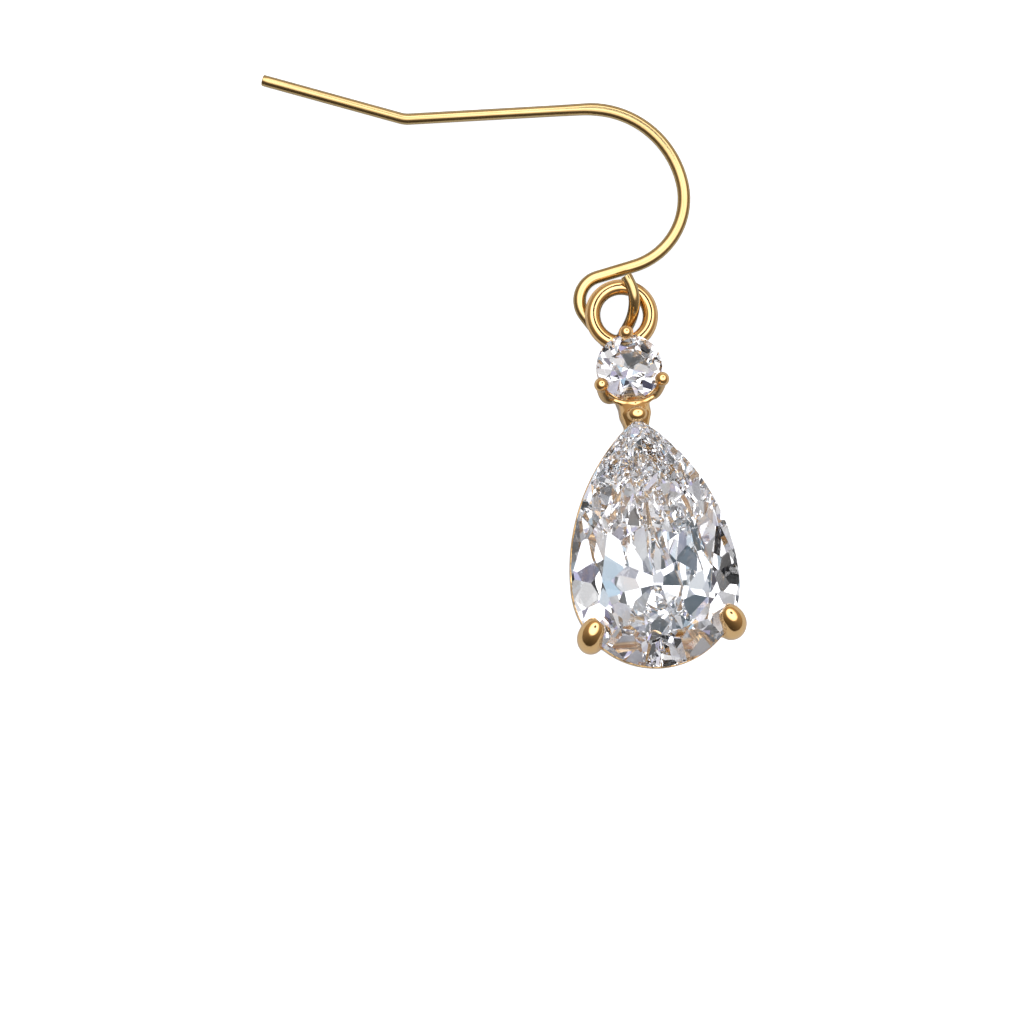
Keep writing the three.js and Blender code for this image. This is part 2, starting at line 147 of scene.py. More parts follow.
def add_rod(bm, stations, sides, up=Vector((0, 0, 1))):
    """Adds a closed rod and returns the faces of its two ends."""
    grain = bm.verts.layers.float_vector.get("grain") or bm.verts.layers.float_vector.new("grain")
    ring = bmesh.ops.create_circle(bm, segments=sides, radius=1.0, cap_ends=True)["verts"]
    first_end = ring[0].link_faces[0]
    edges = edges_at(ring)
    travelled = 0.0
    last_place = Matrix.Identity(4)
    for k, station in enumerate(stations):
        if k:
            travelled += (station["at"] - stations[k - 1]["at"]).length
            made = bmesh.ops.extrude_edge_only(bm, edges=edges)["geom"]
            ring = [item for item in made if isinstance(item, bmesh.types.BMVert)]
            edges = [edge for edge in edges_at(ring) if all(v in ring for v in edge.verts)]
        place = section_place(stations, k, up)
        bmesh.ops.transform(bm, matrix=place @ last_place.inverted(), verts=ring)
        for vertex in ring:
            around = place.inverted() @ vertex.co
            vertex[grain] = (around.x, around.y, travelled)
        last_place = place
    last_end = bmesh.ops.edgeloop_fill(bm, edges=edges)["faces"][0]
    return [first_end, last_end]


# %% [markdown]
# ## The ear wire
# The wire was bent round pegs: straight runs and arcs, one after the other. So its middle
# line is walked here in the same way, from the cut end of the eye, through the S, round
# the bow and out to the tail. The eye and the S go round the drop's ring, so their sizes
# are shares of it.

# %% The runs and arcs of the wire
wire_dia = 0.7
ring_wire, ring_hole = 0.96, 2.6
link_ring = ring_hole + 2 * ring_wire
eye_run, eye_radius, eye_bend = 0.08 * link_ring, 0.61 * link_ring, 57  # bends in degrees
side_run, turnback_radius, turnback_bend = 0.18 * link_ring, 0.15 * link_ring, 114.6
throat_run, throat_bend = 0.42 * link_ring, 110.7
wire_walk = [
    {"run": eye_run, "radius": eye_radius, "turn": -eye_bend, "pressed": 0},
    {"run": side_run, "radius": turnback_radius, "turn": -turnback_bend, "pressed": 0},
    {"run": throat_run, "radius": 1.5, "turn": -throat_bend, "pressed": 1},
    {"run": 2.4, "radius": 4.33, "turn": 86.5, "pressed": 1},
    {"run": 0.0, "radius": 5.9, "turn": 80, "pressed": 1},
    {"run": 10.8, "radius": 1.8, "turn": -18.6, "pressed": 0},
    {"run": 8.8, "radius": 0.0, "turn": 0, "pressed": 0},
]
print("the wire has", len(wire_walk), "runs, and the drop's ring is", round(link_ring, 2), "mm wide")

# %% [markdown]
# Each run and each arc is cut into short strides, and every stride ends at a station. An
# arc is walked by turning about its centre, which lies beside the wire.

# %% Walk the wire's middle line
wire_heading = 299  # degrees, the way the wire sets out from its cut end
bend_step, run_step = 4.0, 0.4  # degrees, millimetres


def walked(rows, heading):
    """Stations along straight runs and arcs, flat on the table, with the distance walked."""
    at = Vector((0.0, 0.0, 0.0))
    travelled = 0.0
    stations = [{"at": at.copy(), "travelled": 0.0, "pressed": 0}]

    def arrive(pressed):
        stations.append({"at": at.copy(), "travelled": travelled, "pressed": pressed})

    for row in rows:
        along = Vector((math.cos(math.radians(heading)), math.sin(math.radians(heading)), 0))
        for _ in range(math.ceil(row["run"] / run_step)):
            stride = row["run"] / math.ceil(row["run"] / run_step)
            at += along * stride
            travelled += stride
            arrive(row["pressed"])
        side = math.copysign(1, row["turn"])
        centre = at + Vector((-along.y, along.x, 0)) * row["radius"] * side
        steps = math.ceil(abs(row["turn"]) / bend_step)
        for _ in range(steps):
            turn = math.radians(row["turn"] / steps)
            at = centre + Matrix.Rotation(turn, 3, "Z") @ (at - centre)
            travelled += row["radius"] * abs(turn)
            arrive(row["pressed"])
        heading += row["turn"]
    return stations


wire_stations = walked(wire_walk, wire_heading)
print("ear wire", round(wire_stations[-1]["travelled"], 1), "mm long,", len(wire_stations), "stations")

# %% [markdown]
# The eye's end rises off the table to pass over the link ring. The stretch from the S to
# the top of the bow was pressed over the pegs, so it is a little broader than it is high.

# %% Lift the eye and press the bow
lift_start, lift_length = 0.27, 0.79  # shares of the eye's first side
wire_broadening, press_reach = 0.13, 1.2  # a share of the wire, and millimetres


def lift_eye(stations, top):
    """Raises the end of the eye, in one long S, to lie over the link ring."""
    side = eye_run + eye_radius * math.radians(eye_bend) + side_run
    low = wire_dia / 2
    for station in stations:
        share = min(max((station["travelled"] / side - lift_start) / lift_length, 0), 1)
        station["at"].z = low + (top - low) * (1 + math.cos(math.pi * share)) / 2


def press(stations):
    """Broadens the pressed stretch, and lets it run out gently at both of its ends."""
    for station in stations:
        near = [
            other["pressed"] for other in stations
            if abs(other["travelled"] - station["travelled"]) <= press_reach
        ]
        broad = wire_broadening * sum(near) / len(near)
        station.update(radius=wire_dia / 2, wide=1 + broad, high=1 - broad)


hook_low, hook_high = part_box("ear_hook")
lift_eye(wire_stations, hook_high.z / MM - wire_dia / 2)
press(wire_stations)
print("the eye's end is", round(wire_stations[0]["at"].z, 2), "mm above the table")

# %% [markdown]
# The walk began at an arbitrary point, so the finished wire is moved as a whole until it
# fills the same box as the measured wire. Its two ends are cut square, and the cut edge
# is broken slightly, as a maker does so that it doesn't scratch.

# %% Extrude the wire and put it in its place
cut_edge = 0.05  # millimetres


def wire_mesh(stations):
    bm = bmesh.new()
    ends = add_rod(bm, stations, sides=28)
    rims = [edge for end in ends for edge in end.edges]
    bmesh.ops.bevel(
        bm, geom=rims, offset=cut_edge, segments=2, profile=0.5, affect="EDGES", material=-1,
    )
    bmesh.ops.recalc_face_normals(bm, faces=bm.faces)
    corners = [vertex.co for vertex in bm.verts]
    low = Vector(min(corner[axis] for corner in corners) for axis in range(3))
    high = Vector(max(corner[axis] for corner in corners) for axis in range(3))
    shift = (hook_low + hook_high) / 2 / MM - (low + high) / 2
    bmesh.ops.transform(bm, matrix=Matrix.Scale(MM, 4) @ Matrix.Translation(shift), verts=bm.verts)
    mesh = bpy.data.meshes.new("bent_ear_wire")
    bm.to_mesh(mesh)
    bm.free()
    return mesh


def finished_object(name, mesh, sharp_angle):
    """Links a mesh whose place is already in its corners, smooth but for its sharp edges."""
    mesh.shade_smooth()
    mesh.set_sharp_from_angle(angle=math.radians(sharp_angle))
    made = bpy.data.objects.new(name, mesh)
    bpy.context.scene.collection.objects.link(made)
    return made


ear_wire = finished_object("bent_ear_wire", wire_mesh(wire_stations), sharp_angle=35)
print("wire box", [[round(v / MM, 2) for v in corner] for corner in list(ear_wire.bound_box)[::6]])

# %% [markdown]
# ## The cast drop
# The drop's metal was cast in one piece and polished, so its parts run into each other
# with small fillets. That is hard to model edge by edge. Here each part is a simple
# closed body that overlaps its neighbours, and a voxel remesh fuses them all into one
# skin, which is then smoothed like wax. The drop's own origin is the middle of the pear's
# round end, at the lower edge of its girdle.

# %% Where the stones sit
round_dia, round_girdle = 4.0, 0.1
stone_spacing, round_set_back = 1.28, 0.45  # beyond the pear's tip, and behind its girdle
metal_drop = 0.07  # how far behind a stone's edge or point the metal starts
basket_height, basket_sink = 1.25, 0.25

pear_half = pear_width / 2
pear_tip = pear_length - pear_half
side_arc = (pear_tip**2 + pear_half**2) / (2 * pear_half)
tip_angle = math.degrees(math.asin(pear_tip / side_arc))
round_y = pear_tip + stone_spacing + round_dia / 2
round_z = -round_set_back
basket_bottom = round_z - basket_sink - basket_height
print("side arcs of the pear", round(side_arc, 2), "mm, up to", round(tip_angle, 1), "degrees")

# %% [markdown]
# ### Rings
# The drop hangs by its link ring, and behind the large stone a second ring joins the
# feet of the claws. A ring is a circle spun all the way round an axis beside it. The last
# step of the spin is merged with the first, so that the ring is closed.

# %% The link ring and the ring that the drop leans on
ring_level, ring_sink = 0.6, 0.1  # a share of the basket's height, and millimetres
base_ring_radius, base_ring_wire = 1.3, 0.8

ring_radius = (ring_hole + ring_wire) / 2
ring_y = round_y + round_dia / 2 - ring_wire / 3 + ring_radius
ring_z = round_z - ring_level * basket_height - ring_sink
base_ring_z = -pear_pavilion - metal_drop


def add_ring(bm, centre, radius, wire, steps, sides):
    ring = bmesh.ops.create_circle(
        bm, segments=sides, radius=wire / 2,
        matrix=Matrix.Translation(centre + Vector((radius, 0, 0))) @ Matrix.Rotation(math.pi / 2, 4, "X"),
    )["verts"]
    bmesh.ops.spin(
        bm, geom=ring + edges_at(ring), cent=centre, axis=(0, 0, 1), angle=2 * math.pi, steps=steps,
        use_merge=True,
    )


print("the link ring's middle is", round(ring_y, 2), "mm above the pear's round end")

# %% [markdown]
# ### The rail under the pear stone
# The stone sits on a rail that follows its outline: an arc down one side, a half circle
# round the bottom and an arc up the other side. One rectangle, spun three times about
# three centres, makes it.

# %% The gallery rail
rail_height, rail_wall, rail_proud = 0.8, 0.75, 0.05
side_steps, bottom_steps = 18, 60


def add_rail(bm):
    inner, outer = side_arc - rail_wall, side_arc + rail_proud
    top, bottom = -metal_drop, -metal_drop - rail_height
    corners = [(inner, top), (inner, bottom), (outer, bottom), (outer, top)]
    centre = Vector((pear_half - side_arc, 0, 0))
    turn = Matrix.Rotation(math.radians(tip_angle), 4, "Z")
    section = [bm.verts.new(centre + turn @ Vector((x, 0, z))) for x, z in corners]
    geom = [bm.faces.new(section), *section]
    sweeps = [
        (centre, tip_angle, side_steps), (Vector(), 180, bottom_steps), (-centre, tip_angle, side_steps),
    ]
    for middle, angle, steps in sweeps:
        geom = bmesh.ops.spin(
            bm, geom=geom, cent=middle, axis=(0, 0, 1), angle=-math.radians(angle), steps=steps,
        )["geom_last"]


print("the rail is", rail_wall + rail_proud, "mm wide and", rail_height, "mm high")

# %% [markdown]
# ### Curved rods
# Claws, struts and prongs curve in all directions. A few stations are given, and this
# helper adds more between them on a curve that goes through each one, so that the
# rod has no corners.

# %% More stations on a smooth curve


def smooth_route(rows, steps):
    """More stations between the given ones, on a curve that runs through each of them."""
    dense = []
    for k in range(len(rows) - 1):
        around = [rows[max(k - 1, 0)], rows[k], rows[k + 1], rows[min(k + 2, len(rows) - 1)]]
        for step in range(steps):
            t = step / steps
            weights = (
                (-t + 2 * t**2 - t**3) / 2,
                (2 - 5 * t**2 + 3 * t**3) / 2,
                (t + 4 * t**2 - 3 * t**3) / 2,
                (-(t**2) + t**3) / 2,
            )
            at = sum((row["at"] * w for row, w in zip(around, weights)), Vector())
            radius = sum(row["radius"] * w for row, w in zip(around, weights))
            dense.append({"at": at, "radius": radius})
    return [*dense, rows[-1]]


# %% [markdown]
# ### Claws and struts
# A claw rises from the base ring behind the stone, swells beside the girdle and bends
# over the crown, leaning a little towards the stone's tip. Its stations say how far out
# they are, how high, how thick, and how many degrees they lean. A third strut follows the
# keel of the stone to its tip.

# %% The claws and the strut under the keel
claw_radius, claw_azimuth = 0.78, -34
strut_radius = 0.42
neck_depth = 1.55  # the strut ends inside the neck
seat_gap = 0.05  # the clearance between stone and metal


def add_claw(bm, azimuth):
    rim = pear_girdle + seat_gap
    c = claw_radius
    rows = [
        (base_ring_radius, base_ring_z, strut_radius, 0),
        (0.55 * pear_half, -0.7 * pear_pavilion, strut_radius, 0),
        (pear_half - 0.7 * c, -0.42 * pear_pavilion, 1.15 * strut_radius, 0),
        (pear_half + 0.05 * c, -1.3 * c, 0.84 * c, -2),
        (pear_half + 0.28 * c, rim - 0.6 * c, c, -2),
        (pear_half + 0.22 * c, rim + 0.15 * c, c, 0),
        (pear_half - 0.1 * c, rim + 0.6 * c, 0.95 * c, 2),
        (pear_half - 0.65 * c, rim + 0.8 * c, 0.82 * c, 4),
        (pear_half - 1.05 * c, rim + 0.86 * c, 0.55 * c, 5),
    ]
    stations = []
    for far, z, radius, lean in rows:
        turn = azimuth + math.copysign(lean, lean * math.cos(math.radians(azimuth)))
        out = Matrix.Rotation(math.radians(turn), 3, "Z") @ Vector((far, 0, z))
        stations.append({"at": out, "radius": radius})
    across = Matrix.Rotation(math.radians(azimuth), 3, "Z") @ Vector((0, 1, 0))
    add_rod(bm, smooth_route(stations, steps=4), sides=24, up=across)


def add_keel_strut(bm):
    rows = [
        (0.8 * base_ring_radius, base_ring_z, strut_radius),
        (0.4 * pear_tip, base_ring_z + 0.32 * pear_pavilion, strut_radius),
        (pear_tip, -0.9 * neck_depth, 1.2 * strut_radius),
    ]
    stations = [{"at": Vector((0, y, z)), "radius": radius} for y, z, radius in rows]
    add_rod(bm, smooth_route(stations, steps=6), sides=20)


print("each claw is", 2 * claw_radius, "mm thick beside the girdle")

# %% [markdown]
# ### The neck
# Above the large stone a short neck widens into the basket of the round stone. Its front
# is flat and its sides are round. So it is made of rods that lie side by side, in a thin
# layer at the front and a deep one behind it, which gives a flat front without corners.

# %% The neck's rods
neck_width, neck_slope = 1.9, 0.1
neck_overlap, neck_cover, neck_rise = 0.8, 0.28, 0.28
neck_flat = 0.35  # the flat share of the neck's width; the rest is its round sides
neck_lanes = (-1, -0.33, 0.33, 1)  # where the rods lie, as shares of the flat
front_depth, back_sink = 1.0, 0.35  # millimetres, of the front layer and of the deep one
neck_reach = 0.45  # of the round stone's diameter, from its middle to the neck's end
cover_drop = 0.16  # millimetres, how much lower the front is where it meets the stone
neck_front = pear_girdle + neck_rise


def add_neck_rod(bm, rows, lane, sink, depth):
    """One rod of the neck; without a depth it goes down to the underside of each row."""
    core = (neck_width / 2) * (1 - neck_flat)
    stations = []
    for y, width, top, under in rows:
        high, low = top - sink, (top - depth if depth else under)
        stations.append({
            "at": Vector((lane * neck_flat * width * neck_width / 2, y, (high + low) / 2)),
            "radius": core * width,
            "high": (high - low) / (2 * core * width),
        })
    add_rod(bm, stations, sides=32)


def add_neck(bm):
    end = round_y - neck_reach * round_dia
    span = end - pear_tip
    rows = [
        (pear_tip - neck_overlap, 0.7, -neck_slope, -neck_depth),
        (pear_tip - neck_cover, 0.8, neck_front - cover_drop, -neck_depth),
        (pear_tip + 0.2 * span, 1.0, neck_front, -neck_depth),
        (pear_tip + 0.65 * span, 0.98, neck_front / 3, basket_bottom),
        (end, 1.1, round_z - 2 * neck_slope, basket_bottom),
    ]
    for lane in neck_lanes:
        for sink, depth in ((0, front_depth), (back_sink, 0)):
            add_neck_rod(bm, rows, lane, sink, depth)


print("the neck is", neck_width, "mm wide, with a flat of", round(neck_flat * neck_width, 2), "mm")

# %% [markdown]
# ### What the neck carries
# A bead presses on the tip of the large stone, and above it a low ridge follows the edge
# of the round one. The bead is a flattened sphere. Smoothing will take a little off each
# bead, so it starts slightly too large.

# %% The bead and the ridge on the neck
wax_loss = 1.1  # how much too large a bead starts
tip_bead_width, tip_bead_shape = 1.12, (1, 0.8, 0.75)
tip_bead_along, tip_bead_out = 0.24, 0.3  # shares of its half width, from the stone's tip
ridge_turns = range(238, 303, 8)  # degrees round the round stone
ridge_gap, ridge_radius, ridge_fall = 0.34, 0.19, 0.5  # millimetres


def add_bead(bm, at, radius, shape=(1, 1, 1)):
    place = Matrix.Translation(at) @ Matrix.Diagonal((*shape, 1))
    bmesh.ops.create_uvsphere(bm, u_segments=32, v_segments=20, radius=radius, matrix=place)


def add_tip_bead(bm):
    half = tip_bead_width / 2 * wax_loss
    at = Vector((0, pear_tip + tip_bead_along * half, neck_front + tip_bead_out * half))
    add_bead(bm, at, half, tip_bead_shape)


def add_ridge(bm):
    stations = []
    for turn in ridge_turns:
        out = Matrix.Rotation(math.radians(turn), 3, "Z") @ Vector((round_dia / 2 + ridge_gap, 0, 0))
        fall = ridge_fall * abs(math.cos(math.radians(turn)))
        stations.append({"at": out + Vector((0, round_y, neck_front / 4 - fall)), "radius": ridge_radius})
    add_rod(bm, stations, sides=16)


print("the ridge has", len(ridge_turns), "stations")

# %% [markdown]
# ### The round stone's basket
# The small stone sits in a cup that narrows downwards. A profile of five corners, spun
# round the stone's axis, makes the cup. A ring that is shifted a little towards the neck
# gives the crescent of bright metal that shows below the stone.

# %% The cup and its crescent rim
basket_wall, basket_inset = 0.45, 0.03
basket_taper, basket_waist = 0.78, 0.45  # shares of its radius and of its height
seat_rim_wire, seat_rim_shift = 0.4, 0.24


def add_basket(bm):
    outer = round_dia / 2 - basket_inset
    foot = basket_taper * outer
    top = round_z - metal_drop
    profile = [
        (outer - basket_wall, top), (foot - basket_wall, basket_bottom), (foot, basket_bottom),
        (outer, top - basket_waist * basket_height), (outer, top),
    ]
    section = [bm.verts.new((x, round_y, z)) for x, z in profile]
    edges = [bm.edges.new((a, b)) for a, b in zip(section, section[1:] + section[:1])]
    bmesh.ops.spin(
        bm, geom=section + edges, cent=(0, round_y, 0), axis=(0, 0, 1), angle=2 * math.pi,
        steps=64, use_merge=True,
    )
    shown = Vector((0, round_y - seat_rim_shift, top - seat_rim_wire / 2))
    add_ring(bm, shown, outer - seat_rim_wire / 2, seat_rim_wire, steps=64, sides=16)


print("the cup is", basket_height, "mm high and", round_dia - 2 * basket_inset, "mm across")

# %% [markdown]
# ### Prongs
# Three prongs stand on the basket's foot, and each ends in a bead over the stone's edge.
# The two lower ones start beside the neck and swing outwards as they rise.

# %% Prongs with their beads
bead_dia, bead_rise = 0.82, 0.3  # the rise is a share of the bead
foot_rise = 0.3  # millimetres above the cup's bottom
prongs = ((90, 0), (-28, 34), (208, -34))  # degrees: where each ends, and how far it swings


def add_prong(bm, azimuth, swing):
    edge = round_dia / 2
    bead_z = round_z + round_girdle + bead_rise * bead_dia
    rows = [
        (azimuth - swing, 0.72 * edge, basket_bottom + foot_rise, 0.52),
        (azimuth - 0.6 * swing, 0.98 * edge, round_z - 0.85 * basket_height, 0.6),
        (azimuth - 0.3 * swing, edge + 0.08 * bead_dia, round_z - 0.4 * basket_height, 0.54),
        (azimuth, edge + 0.12 * bead_dia, bead_z, 0.42),
    ]
    stations = []
    for turn, far, z, thick in rows:
        out = Matrix.Rotation(math.radians(turn), 3, "Z") @ Vector((far, 0, 0))
        stations.append({"at": out + Vector((0, round_y, z)), "radius": thick * bead_dia})
    add_rod(bm, smooth_route(stations, steps=5), sides=20)
    add_bead(bm, stations[-1]["at"], bead_dia / 2 * wax_loss)


print(len(prongs), "prongs with beads of", bead_dia, "mm")

# %% [markdown]
# ### One mesh of many bodies
# Now each part of the drop is added to one mesh. The bodies still cut through each other,
# which a voxel remesh doesn't mind, as long as each of them is closed and its faces point
# outwards.

# %% Put the bodies together


def all_metal():
    bm = bmesh.new()
    add_ring(bm, Vector((0, ring_y, ring_z)), ring_radius, ring_wire, steps=96, sides=32)
    add_ring(bm, Vector((0, 0, base_ring_z)), base_ring_radius, base_ring_wire, steps=64, sides=24)
    add_rail(bm)
    for azimuth in (claw_azimuth, 180 - claw_azimuth):
        add_claw(bm, azimuth)
    add_keel_strut(bm)
    add_neck(bm)
    add_ridge(bm)
    add_tip_bead(bm)
    add_basket(bm)
    for azimuth, swing in prongs:
        add_prong(bm, azimuth, swing)
    bmesh.ops.recalc_face_normals(bm, faces=bm.faces)
    rough = bpy.data.meshes.new("rough_casting")
    bm.to_mesh(rough)
    bm.free()
    return rough


rough_casting = all_metal()
print("the bodies of the drop have", len(rough_casting.polygons), "faces")

# %% [markdown]
# ### Fuse and smooth
# The bodies are remeshed on a fine grid and smoothed. The grid is about as fine as it can
# be while the piece stays under 200,000 triangles. A modifier does the remesh, and it is
# used up at once, so that the finished piece has a plain mesh.

# %% Fuse them into one skin
voxel = 0.06  # millimetres
wax_rounds = 6  # how often the skin is smoothed


def with_modifier(mesh, kind, **settings):
    """The mesh after one modifier, which is used up, so that none stays on the piece."""
    helper = bpy.data.objects.new("helper", mesh)
    bpy.context.scene.collection.objects.link(helper)
    modifier = helper.modifiers.new(kind.lower(), kind)
    for name, value in settings.items():
        setattr(modifier, name, value)
    seen = helper.evaluated_get(bpy.context.evaluated_depsgraph_get())
    result = bpy.data.meshes.new_from_object(seen)
    bpy.data.objects.remove(helper)
    return result


def smoothed(mesh, rounds):
    bm = bmesh.new()
    bm.from_mesh(mesh)
    for _ in range(rounds):
        bmesh.ops.smooth_vert(
            bm, verts=bm.verts, factor=0.5, use_axis_x=True, use_axis_y=True, use_axis_z=True,
        )
    bm.to_mesh(mesh)
    bm.free()
    return mesh


skin = with_modifier(rough_casting, "REMESH", mode="VOXEL", voxel_size=voxel)
casting = smoothed(skin, wax_rounds)
print("cast skin", len(casting.polygons), "faces")

# %% [markdown]
# ### Cut the seats of the stones
# A setter cuts a seat for each stone into the finished casting. Here copies of the
# stones, grown by a small clearance, are taken out of the metal, so that no metal shows
# inside the clear stones and the claws sit on them.

# %% Cut the seats
merge_reach = 0.001  # millimetres, within which loose corners are one


def grown_stone(node, gap):
    """A merged copy of a stone, upright and in millimetres, with its faces moved out."""
    bm = bmesh.new()
    bm.from_mesh(node.data)
    bmesh.ops.transform(bm, matrix=drop_upright, verts=bm.verts)
    bmesh.ops.remove_doubles(bm, verts=bm.verts, dist=merge_reach)
    bmesh.ops.recalc_face_normals(bm, faces=bm.faces)
    for vertex in bm.verts:
        vertex.co += vertex.normal * gap
    mesh = bpy.data.meshes.new("grown_stone")
    bm.to_mesh(mesh)
    bm.free()
    grown = bpy.data.objects.new("grown_stone", mesh)
    bpy.context.scene.collection.objects.link(grown)
    return grown


for name in ("pear_stone", "round_stone"):
    cutter = grown_stone(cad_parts[name], seat_gap)
    casting = with_modifier(
        casting, "BOOLEAN", operation="DIFFERENCE", object=cutter, solver="MANIFOLD",
    )
    bpy.data.objects.remove(cutter)
    print("after the seat of", name, len(casting.polygons), "faces")
casting.transform(drop_lie)
casting.name = "cast_setting"
setting = finished_object("cast_setting", casting, sharp_angle=38)

# %% [markdown]
# ## Writing finishes as expressions
# A finish is a tree of nodes. Written out node by node it is hard to read, so a signal
# wraps one output, and plus, minus, times and greater on signals add the Math nodes for
# them.

# %% Signals


class Signal:
    """One output of a node in a finish."""

    def __init__(self, finish, socket):
        self.finish = finish
        self.socket = socket

    def maths(self, operation, first, second):
        return self.finish.node("ShaderNodeMath", {"operation": operation}, {0: first, 1: second})

    def __add__(self, other):
        return self.maths("ADD", self, other)

    def __radd__(self, other):
        return self.maths("ADD", other, self)

    def __sub__(self, other):
        return self.maths("SUBTRACT", self, other)

    def __rsub__(self, other):
        return self.maths("SUBTRACT", other, self)

    def __mul__(self, other):
        return self.maths("MULTIPLY", self, other)

    def __rmul__(self, other):
        return self.maths("MULTIPLY", other, self)

    def __gt__(self, other):
        return self.maths("GREATER_THAN", self, other)


# %% [markdown]
# Every other node comes from one method, which takes its kind, its settings and its
# inputs. The methods after it name the few nodes that come up again and again.

# %% Finishes
MIX_FACTOR, MIX_FIRST, MIX_SECOND, MIX_RESULT = 0, 6, 7, 2  # the Mix node's colour sockets


class Finish:
    """The nodes of a material, or of the world, added one by one."""

    def __init__(self, owner):
        self.owner = owner
        owner.use_nodes = True
        self.tree = owner.node_tree
        self.tree.nodes.clear()

    def node(self, kind, settings=None, inputs=None, output=0):
        """Adds a node. Its settings come first, because they decide which sockets it has."""
        made = self.tree.nodes.new(kind)
        for name, value in (settings or {}).items():
            if name == "stops":
                for k, (position, colour) in enumerate(value):
                    stops = made.color_ramp.elements
                    stop = stops[k] if k < 2 else stops.new(position)
                    stop.position, stop.color = position, colour
            else:
                setattr(made, name, value)
        for name, value in (inputs or {}).items():
            if isinstance(value, Signal):
                self.tree.links.new(value.socket, made.inputs[name])
            else:
                made.inputs[name].default_value = value
        return Signal(self, made.outputs[output]) if made.outputs else None

    def place(self):
        return self.node("ShaderNodeTexCoord", output="Object")

    def noise(self, place, scale, detail=2.0):
        return self.node("ShaderNodeTexNoise", None, {"Vector": place, "Scale": scale, "Detail": detail})

    def blend(self, factor, first, second):
        inputs = {MIX_FACTOR: factor, MIX_FIRST: first, MIX_SECOND: second}
        return self.node("ShaderNodeMix", {"data_type": "RGBA"}, inputs, output=MIX_RESULT)

    def bump(self, height, distance):
        return self.node("ShaderNodeBump", None, {"Height": height, "Distance": distance})

    def span(self, value, low, high, first=0.0, last=1.0):
        """Runs from first to last while the value runs from low to high."""
        inputs = {"Value": value, "From Min": low, "From Max": high, "To Min": first, "To Max": last}
        return self.node("ShaderNodeMapRange", None, inputs)

    def done(self, **inputs):
        named = {name.replace("_", " "): value for name, value in inputs.items()}
        shader = self.node("ShaderNodeBsdfPrincipled", None, named)
        self.node("ShaderNodeOutputMaterial", None, {"Surface": shader})
        return self.owner


white, black = (1.0, 1.0, 1.0, 1), (0.0, 0.0, 0.0, 1)

# %% [markdown]
# ## Gold
# The metal is a thin, pale gold plate over brass. On the wire the drawing plate has left
# fine lines along it. A noise that is stretched along the wire makes them: its place
# comes from the grain that each rod noted on its corners.

# %% Gold on the wire
pale_wire, deep_wire = (0.80, 0.62, 0.32, 1), (0.32, 0.2, 0.07, 1)
line_stretch = (7.0, 7.0, 0.06)  # fine across the wire, long along it
line_contrast, line_level, line_depth = 2.2, 0.35, 0.000006  # the depth in metres
wire_spots, spot_share = 900.0, 0.3
polish = 0.06  # the roughness of gold where it is at its smoothest


def drawn_gold():
    finish = Finish(bpy.data.materials.new("drawn_gold"))
    grain = finish.node("ShaderNodeAttribute", {"attribute_name": "grain"}, output="Vector")
    stretch = {"Vector": grain, "Scale": line_stretch}
    lines = finish.noise(finish.node("ShaderNodeMapping", {"vector_type": "POINT"}, stretch), 1.0, 3.0)
    spots = finish.noise(finish.place(), wire_spots, 3.0)
    shade = (lines - 0.5) * line_contrast + line_level + spots * spot_share
    return finish.done(
        Base_Color=finish.blend(shade, deep_wire, pale_wire),
        Metallic=1.0,
        Roughness=polish + lines * 0.1 + spots * 0.05,
        Normal=finish.bump(lines, line_depth),
    )


ear_wire.data.materials.append(drawn_gold())
print("the wire's finish is", ear_wire.data.materials[0].name)

# %% [markdown]
# The casting was polished by hand, so its surface is smooth but rolls a little, which
# breaks up the highlights. A coarse noise makes the rolling, and a fine one the small
# spots of wear.

# %% Gold on the casting
pale_gold, deep_gold = (0.93, 0.65, 0.32, 1), (0.80, 0.49, 0.2, 1)
rolling_scale, cast_spots = 700.0, 2600.0
rolling_depth = 0.00003  # metres


def cast_gold():
    finish = Finish(bpy.data.materials.new("cast_gold"))
    place = finish.place()
    rolling = finish.noise(place, rolling_scale, 1.0)
    spots = finish.noise(place, cast_spots, 3.0)
    return finish.done(
        Base_Color=finish.blend(rolling * 0.7 + spots * 0.3, deep_gold, pale_gold),
        Metallic=1.0,
        Roughness=polish + spots * 0.1,
        Normal=finish.bump(rolling, rolling_depth),
    )


setting.data.materials.clear()
setting.data.materials.append(cast_gold())
print("the casting's finish is", setting.data.materials[0].name)

# %% [markdown]
# ## Clear stones
# Cubic zirconia bends light far more than glass does, with an index of about 2.15. Light
# that enters the crown is thrown back by the flat facets underneath, and each small patch
# shows another part of the studio. The cut does the work, so the finish stays simple.

# %% Cubic zirconia
stone_index = 2.15
tint_size = 500.0
cool_stone, plain_stone = (0.86, 0.86, 0.9, 1), (0.9, 0.9, 0.9, 1)


def zirconia():
    finish = Finish(bpy.data.materials.new("cubic_zirconia"))
    return finish.done(
        Base_Color=finish.blend(finish.noise(finish.place(), tint_size, 1.0), cool_stone, plain_stone),
        Roughness=0.0,
        IOR=stone_index,
        Transmission_Weight=1.0,
    )


clear_stone = zirconia()
for name in ("pear_stone", "round_stone"):
    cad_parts[name].material_slots[0].material = clear_stone
print("both stones have an index of", stone_index)

# %% [markdown]
# ## The lit table
# Small polished things are photographed on a table that is lit from within, which takes
# their shadow away. The table glows for the camera alone, so that it stays white without
# flooding the stones from below.

# %% A table that glows for the camera
table_glow = 0.85
table_size, table_drop = 1.5, 0.00002  # metres
table_greys, cloud_scale = ((0.78, 0.78, 0.78, 1), (0.8, 0.8, 0.8, 1)), 40.0


